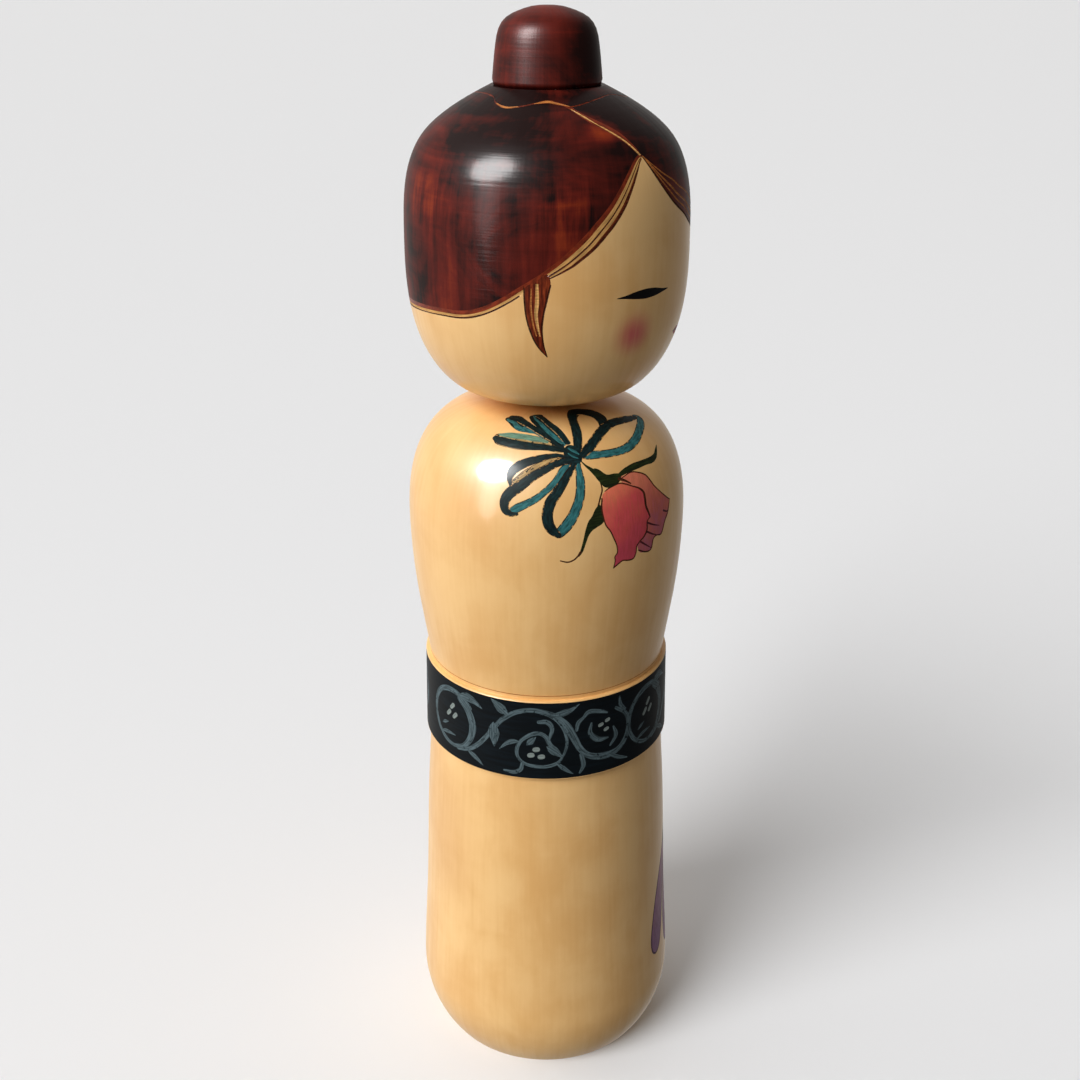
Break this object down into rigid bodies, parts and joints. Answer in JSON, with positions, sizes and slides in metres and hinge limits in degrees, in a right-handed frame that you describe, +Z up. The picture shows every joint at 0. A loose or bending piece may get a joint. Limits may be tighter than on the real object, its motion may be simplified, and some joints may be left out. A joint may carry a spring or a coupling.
{
  "type": "kokeshi doll",
  "caption": "Turned wooden doll with a long waisted body, a raised sash band, a round head that turns on a neck pin, and a hair-bun topknot.",
  "frame": {"origin": "middle of the flat foot, on the surface the doll stands on", "axes": "+Z up along the turning axis, -Y the way the face looks, +X the doll's left"},
  "size_m": [0.0622, 0.0622, 0.242],
  "materials": {
    "body_wood": "pale turned wood, clear varnish",
    "dowel_wood": "plain turned hardwood",
    "head_wood": "pale turned wood, brown-stained hair, clear varnish",
    "hair_stained_wood": "dark red-brown stain, clear varnish"
  },
  "bodies": {
    "body": {"body": "body_wood", "neck_dowel": "dowel_wood"},
    "head": {"head": "head_wood", "topknot": "hair_stained_wood"}
  },
  "joints": [
    {"name": "head_turn", "type": "hinge", "parent": "body", "child": "head", "pos_m": [0, 0, 0.163], "axis": [0, 0, 1], "continuous": true}
  ]
}
